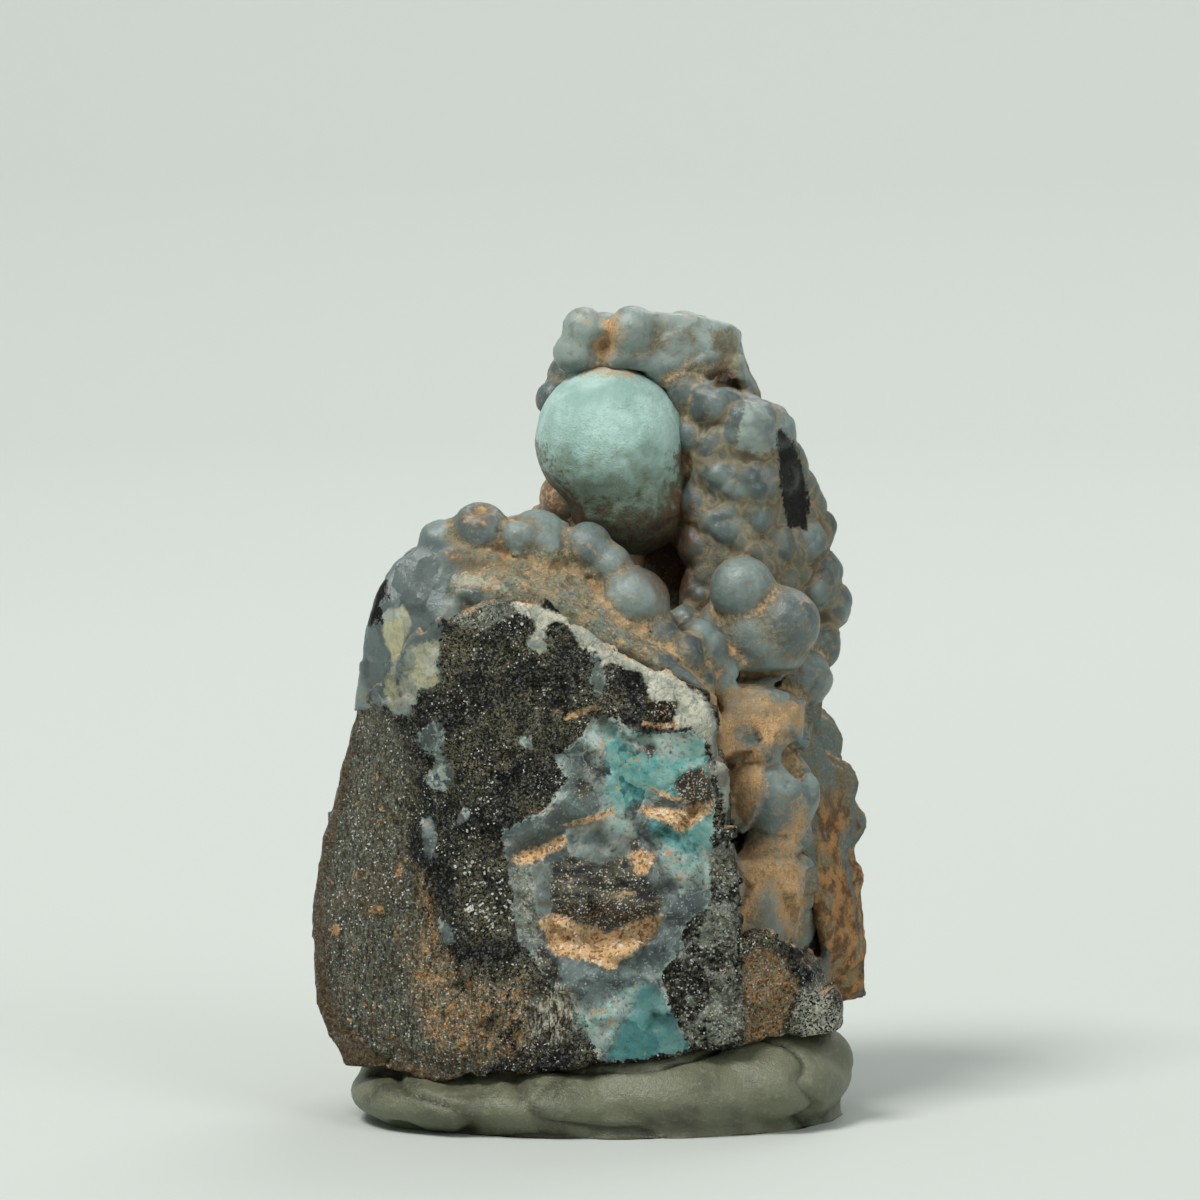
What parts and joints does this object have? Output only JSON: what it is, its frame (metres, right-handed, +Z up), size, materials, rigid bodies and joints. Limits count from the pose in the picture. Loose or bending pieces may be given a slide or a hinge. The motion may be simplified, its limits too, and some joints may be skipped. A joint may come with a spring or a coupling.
{
  "type": "shattuckite on matrix mineral specimen",
  "caption": "Small standing mineral specimen: a turquoise shattuckite ball on a blue-grey botryoidal chalcedony crust over dark iron-stained rock, held upright in a pad of putty.",
  "frame": {"origin": "middle of the whole part's box in X and Y, at the flat underside of the putty in Z", "axes": "+Z up as the stone stands on display, -Y out of the dark sawn front face, +X towards the tall tower beside the ball"},
  "size_m": [0.0254, 0.0186, 0.0367],
  "materials": {
    "dark_rock": "rough broken rock with shining grains",
    "chalcedony": "waxy, with dusty brown creases",
    "shattuckite": "matt with a fine sparkling skin",
    "putty": "soft matt"
  },
  "bodies": {
    "root": {"matrix": "dark_rock", "chalcedony_crust": "chalcedony", "shattuckite_ball": "shattuckite", "putty_pad": "putty"}
  },
  "joints": []
}
